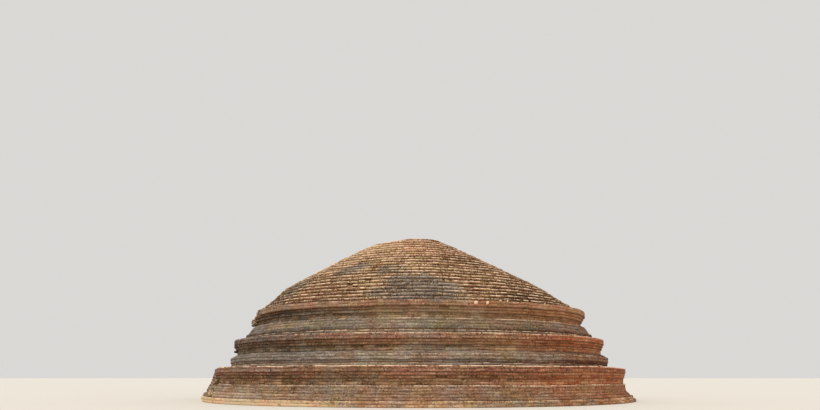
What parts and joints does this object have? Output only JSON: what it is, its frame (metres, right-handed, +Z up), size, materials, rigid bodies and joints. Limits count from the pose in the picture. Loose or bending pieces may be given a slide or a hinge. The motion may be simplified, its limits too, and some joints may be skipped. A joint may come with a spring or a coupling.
{
  "type": "ruined brick stupa",
  "caption": "Low round brick stupa in ruins: moulded round terraces set back one on the other, under a flattened dome laid in stepped brick courses.",
  "frame": {"origin": "centre of the foot, at ground level", "axes": "+Z up; the pictured front faces -Y, and +X is to the right of that view"},
  "size_m": [11.05, 11.05, 4.239],
  "materials": {
    "red_brick": "unglazed fired brick, rubbed and weathered, reddest on the cornices",
    "brown_brick": "unglazed fired brick, dull brown with dirt and old lichen",
    "grey_brick": "unglazed fired brick under grey lichen and dark stains",
    "tan_brick": "unglazed fired brick, sun-bleached, with dust on its upper edges"
  },
  "bodies": {
    "root": {"lower_terrace_foot": "tan_brick", "lower_terrace_flare": "brown_brick", "lower_terrace_wall": "brown_brick", "lower_terrace_neck": "brown_brick", "lower_terrace_lower_corbel": "brown_brick", "lower_terrace_upper_corbel": "red_brick", "lower_terrace_cornice": "red_brick", "middle_terrace_base": "grey_brick", "middle_terrace_moulding": "grey_brick", "middle_terrace_weathering": "grey_brick", "middle_terrace_neck": "brown_brick", "middle_terrace_lower_corbel": "brown_brick", "middle_terrace_upper_corbel": "red_brick", "middle_terrace_cornice": "red_brick", "upper_terrace_base": "grey_brick", "upper_terrace_moulding": "grey_brick", "upper_terrace_neck": "brown_brick", "upper_terrace_lower_corbel": "brown_brick", "upper_terrace_upper_corbel": "red_brick", "upper_terrace_cornice": "red_brick", "dome_course_01": "brown_brick", "dome_course_02": "tan_brick", "dome_course_03": "brown_brick", "dome_course_04": "tan_brick", "dome_course_05": "brown_brick", "dome_course_06": "tan_brick", "dome_course_07": "brown_brick", "dome_course_08": "tan_brick", "dome_course_09": "brown_brick", "dome_course_10": "tan_brick", "dome_course_11": "brown_brick", "dome_course_12": "tan_brick", "dome_course_13": "brown_brick", "dome_course_14": "tan_brick", "dome_course_15": "brown_brick", "dome_course_16": "tan_brick", "dome_course_17": "brown_brick", "dome_course_18": "tan_brick", "dome_course_19": "brown_brick", "dome_course_20": "tan_brick", "dome_course_21": "brown_brick", "dome_course_22": "tan_brick", "dome_crown": "brown_brick"}
  },
  "joints": []
}
